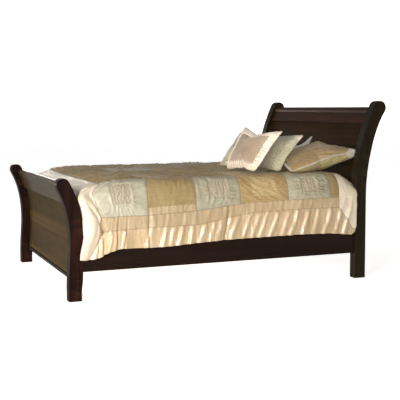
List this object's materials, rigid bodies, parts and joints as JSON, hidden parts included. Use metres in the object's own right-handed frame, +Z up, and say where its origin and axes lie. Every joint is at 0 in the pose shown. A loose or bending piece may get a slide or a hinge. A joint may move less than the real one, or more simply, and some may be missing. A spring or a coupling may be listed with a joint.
{
  "type": "sleigh bed",
  "caption": "Queen-size wooden sleigh bed with scrolled headboard and footboard, side rails, slats, box spring, mattress, patchwork comforter and pillows.",
  "frame": {"origin": "on the floor, in the middle of the bed's length and width", "axes": "+Y from the foot to the head, +X to the right of a person who stands at the foot and looks at the head, +Z up"},
  "size_m": [1.718, 2.4717, 1.3139],
  "materials": {
    "dark_wood": "satin",
    "bare_wood": "matte",
    "zinc_steel": "satin",
    "screw_steel": "satin",
    "glide_plastic": "matte",
    "ticking": "matte",
    "comforter_satin": "satin",
    "pillow_champagne": "satin",
    "pillow_sage": "satin"
  },
  "bodies": {
    "frame": {"headboard_post_left": "dark_wood", "headboard_post_right": "dark_wood", "headboard_top_rail": "dark_wood", "headboard_panel": "dark_wood", "headboard_bottom_rail": "dark_wood", "headboard_dowels": "bare_wood", "footboard_post_left": "dark_wood", "footboard_post_right": "dark_wood", "footboard_top_rail": "dark_wood", "footboard_panel": "dark_wood", "footboard_bottom_rail": "dark_wood", "footboard_cross_rail": "dark_wood", "panel_screws": "screw_steel", "footboard_dowels": "bare_wood", "side_rail_left": "dark_wood", "side_rail_right": "dark_wood", "cleat_left": "bare_wood", "cleat_right": "bare_wood", "cleat_screws": "screw_steel", "hook_plate_foot_left": "zinc_steel", "hook_plate_foot_right": "zinc_steel", "hook_plate_head_left": "zinc_steel", "hook_plate_head_right": "zinc_steel", "slot_plate_foot_left": "zinc_steel", "slot_plate_foot_right": "zinc_steel", "slot_plate_head_left": "zinc_steel", "slot_plate_head_right": "zinc_steel", "plate_screws": "screw_steel", "centre_beam": "bare_wood", "beam_bracket_foot": "zinc_steel", "beam_bracket_head": "zinc_steel", "bracket_screws": "screw_steel", "slat_01": "bare_wood", "slat_02": "bare_wood", "slat_03": "bare_wood", "slat_04": "bare_wood", "slat_05": "bare_wood", "slat_06": "bare_wood", "slat_07": "bare_wood", "slat_08": "bare_wood", "slat_09": "bare_wood", "slat_10": "bare_wood", "slat_11": "bare_wood", "slat_12": "bare_wood", "slat_screws": "screw_steel", "glide_foot_left": "glide_plastic", "glide_foot_right": "glide_plastic", "glide_head_left": "glide_plastic", "glide_head_right": "glide_plastic"},
    "box_spring": {"box_spring": "ticking"},
    "mattress": {"mattress": "ticking"},
    "comforter": {"comforter": "comforter_satin"},
    "pillow_back": {"pillow_back": "pillow_champagne"},
    "pillow_side": {"pillow_side": "pillow_champagne"},
    "pillow_sham": {"pillow_sham": "pillow_sage"},
    "pillow_throw": {"pillow_throw": "pillow_champagne"}
  },
  "joints": [
    {"name": "box_spring_lift", "type": "slide", "parent": "frame", "child": "box_spring", "axis": [0, 0, 1], "range_m": [0, 0.35]},
    {"name": "mattress_lift", "type": "slide", "parent": "box_spring", "child": "mattress", "axis": [0, 0, 1], "range_m": [0, 0.35]},
    {"name": "comforter_lift", "type": "slide", "parent": "mattress", "child": "comforter", "axis": [0, 0, 1], "range_m": [0, 0.4]},
    {"name": "pillow_back_lift", "type": "slide", "parent": "comforter", "child": "pillow_back", "axis": [0, 0, 1], "range_m": [0, 0.3]},
    {"name": "pillow_side_lift", "type": "slide", "parent": "comforter", "child": "pillow_side", "axis": [0, 0, 1], "range_m": [0, 0.3]},
    {"name": "pillow_sham_lift", "type": "slide", "parent": "pillow_side", "child": "pillow_sham", "axis": [0, 0, 1], "range_m": [0, 0.3]},
    {"name": "pillow_throw_lift", "type": "slide", "parent": "pillow_sham", "child": "pillow_throw", "axis": [0, 0, 1], "range_m": [0, 0.3]}
  ]
}
